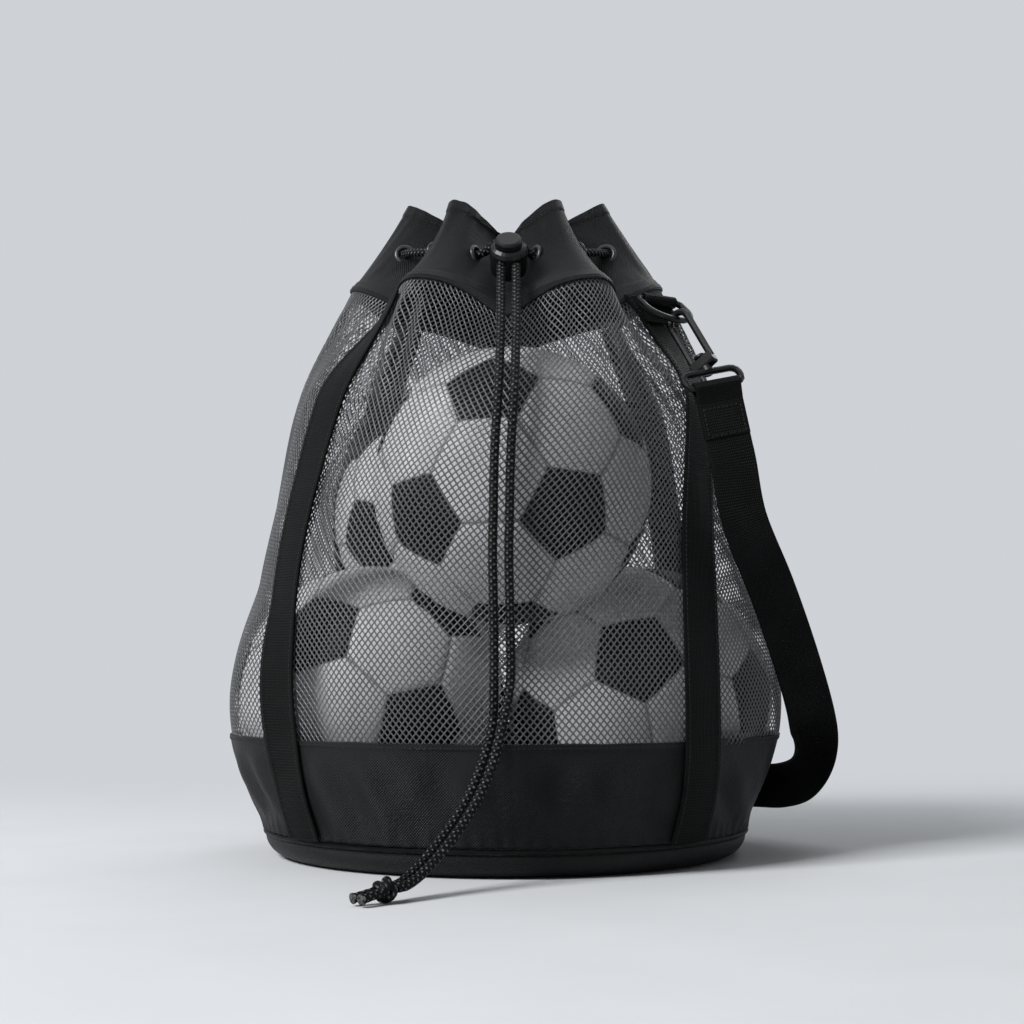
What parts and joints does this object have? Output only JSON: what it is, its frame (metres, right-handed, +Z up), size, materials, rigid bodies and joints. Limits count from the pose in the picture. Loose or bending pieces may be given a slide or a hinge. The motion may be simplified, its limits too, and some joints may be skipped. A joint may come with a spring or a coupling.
{
  "type": "mesh ball bag",
  "caption": "Drawstring bag of open net on a round cloth base with a gathered collar, sliding cord lock, webbing straps, carry strap on a swivel snap hook, and balls inside.",
  "frame": {"origin": "centre of the underside of the base, on the floor", "axes": "+Z up, -Y towards the front where the cord lock is, +X to the side with the carry strap"},
  "size_m": [0.4903, 0.5498, 0.5307],
  "materials": {
    "nylon_cloth": "matt woven",
    "net": "open knitted net",
    "webbing": "ribbed weave",
    "cord": "braided",
    "eyelet_metal": "black, satin",
    "moulded_plastic": "satin",
    "spring_steel": "bright",
    "foam": "matt closed-cell foam",
    "ball_cover": "smooth, light and dark panels"
  },
  "bodies": {
    "bag": {"base_panel": "nylon_cloth", "base_pad": "foam", "base_piping": "nylon_cloth", "lower_band": "nylon_cloth", "net_front": "net", "net_right": "net", "net_back": "net", "net_left": "net", "collar_front": "nylon_cloth", "collar_right": "nylon_cloth", "collar_left": "nylon_cloth", "eyelet_1": "eyelet_metal", "eyelet_2": "eyelet_metal", "eyelet_3": "eyelet_metal", "eyelet_4": "eyelet_metal", "eyelet_5": "eyelet_metal", "eyelet_6": "eyelet_metal", "eyelet_7": "eyelet_metal", "eyelet_8": "eyelet_metal", "eyelet_9": "eyelet_metal", "eyelet_10": "eyelet_metal", "eyelet_11": "eyelet_metal", "eyelet_12": "eyelet_metal", "strap_front_left": "webbing", "strap_front_right": "webbing", "strap_back_right": "webbing", "strap_back_left": "webbing", "ring_keeper": "webbing", "draw_cord": "cord", "cord_tail_left": "cord", "cord_tail_right": "cord", "cord_knot": "cord", "cord_end_left": "cord", "cord_end_right": "cord", "shoulder_strap": "webbing", "strap_anchor": "webbing", "ball_lower_left": "ball_cover", "ball_lower_right": "ball_cover", "ball_upper_front": "ball_cover", "ball_upper_back": "ball_cover"},
    "cord_lock": {"lock_barrel": "moulded_plastic", "lock_spring": "spring_steel"},
    "lock_button": {"lock_button": "moulded_plastic"},
    "d_ring": {"d_ring": "moulded_plastic"},
    "strap_end": {"hook_eye": "moulded_plastic", "strap_end_loop": "webbing"},
    "snap_hook": {"snap_hook": "moulded_plastic"},
    "hook_gate": {"hook_gate": "moulded_plastic"}
  },
  "joints": [
    {"name": "lock_slide", "type": "slide", "parent": "bag", "child": "cord_lock", "axis": [0, -0.682, -0.7314], "range_m": [0, 0.05]},
    {"name": "button_press", "type": "slide", "parent": "cord_lock", "child": "lock_button", "axis": [0, 0.7314, -0.682], "range_m": [0, 0.0045], "stiffness_N_per_m": 600, "springref_m": -0.004, "deforming": ["lock_spring"]},
    {"name": "d_ring_swing", "type": "hinge", "parent": "bag", "child": "d_ring", "pos_m": [0.12176, -0.05625, 0.44089], "axis": [-0.8024, -0.5968, 0], "range_deg": [0, 60]},
    {"name": "strap_swing", "type": "hinge", "parent": "bag", "child": "strap_end", "pos_m": [0.12176, -0.05625, 0.44089], "axis": [-0.8024, -0.5968, 0], "range_deg": [0, 60], "deforming": ["shoulder_strap"]},
    {"name": "hook_swivel", "type": "hinge", "parent": "strap_end", "child": "snap_hook", "pos_m": [0.15281, -0.10167, 0.38243], "axis": [0.3392, -0.5287, -0.7781], "range_deg": [-15, 15]},
    {"name": "gate_open", "type": "hinge", "parent": "snap_hook", "child": "hook_gate", "pos_m": [0.1449, -0.09462, 0.38216], "axis": [0.6547, 0.7266, -0.2083], "range_deg": [0, 15], "stiffness_Nm_per_rad": 0.05, "springref_deg": -8.59}
  ],
  "couplings": [
    {"joint": "strap_swing", "follows": "d_ring_swing", "ratio": 1}
  ]
}
